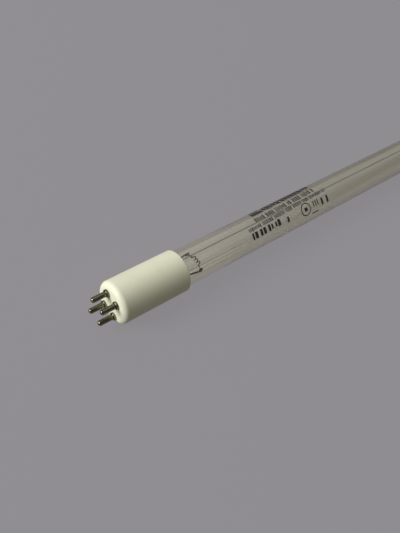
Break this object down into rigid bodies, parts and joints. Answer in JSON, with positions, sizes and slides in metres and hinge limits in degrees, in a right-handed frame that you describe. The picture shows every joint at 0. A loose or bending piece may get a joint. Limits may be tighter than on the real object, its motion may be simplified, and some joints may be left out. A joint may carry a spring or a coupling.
{
  "type": "uv sterilizer lamp",
  "caption": "Slim clear quartz tube lamp for ultraviolet sterilizing, with a white ceramic base that carries the contact pins, coiled filaments and a plain far cap.",
  "frame": {"origin": "middle of the four contact pins, on the plane of their shoulders, where a lampholder seats", "axes": "+X along the lamp from the pins to the far cap; +Y along the short side of the pin rectangle; +Z along its long side"},
  "size_m": [0.2934, 0.0186, 0.0186],
  "materials": {
    "ceramic": "smooth unglazed white",
    "cement": "matte",
    "quartz": "clear polished",
    "pin_metal": "nickel plated",
    "wire": "bare drawn nickel wire",
    "support_wire": "oxidised wire",
    "filament": "coated coil",
    "foil": "bright foil",
    "mercury": "liquid metal"
  },
  "bodies": {
    "root": {"base_cement": "cement", "ceramic_base": "ceramic", "contact_pin_1": "pin_metal", "contact_pin_2": "pin_metal", "contact_pin_3": "pin_metal", "contact_pin_4": "pin_metal", "far_cap": "ceramic", "far_cement": "cement", "far_filament": "filament", "far_seal_foil_1": "foil", "far_seal_foil_2": "foil", "far_support_1": "support_wire", "far_support_2": "support_wire", "mercury_bead": "mercury", "near_filament": "filament", "near_lead_1": "wire", "near_lead_2": "wire", "near_seal_foil_1": "foil", "near_seal_foil_2": "foil", "near_support_1": "support_wire", "near_support_2": "support_wire", "quartz_tube": "quartz", "return_wire_1": "wire", "return_wire_2": "wire"}
  },
  "joints": []
}
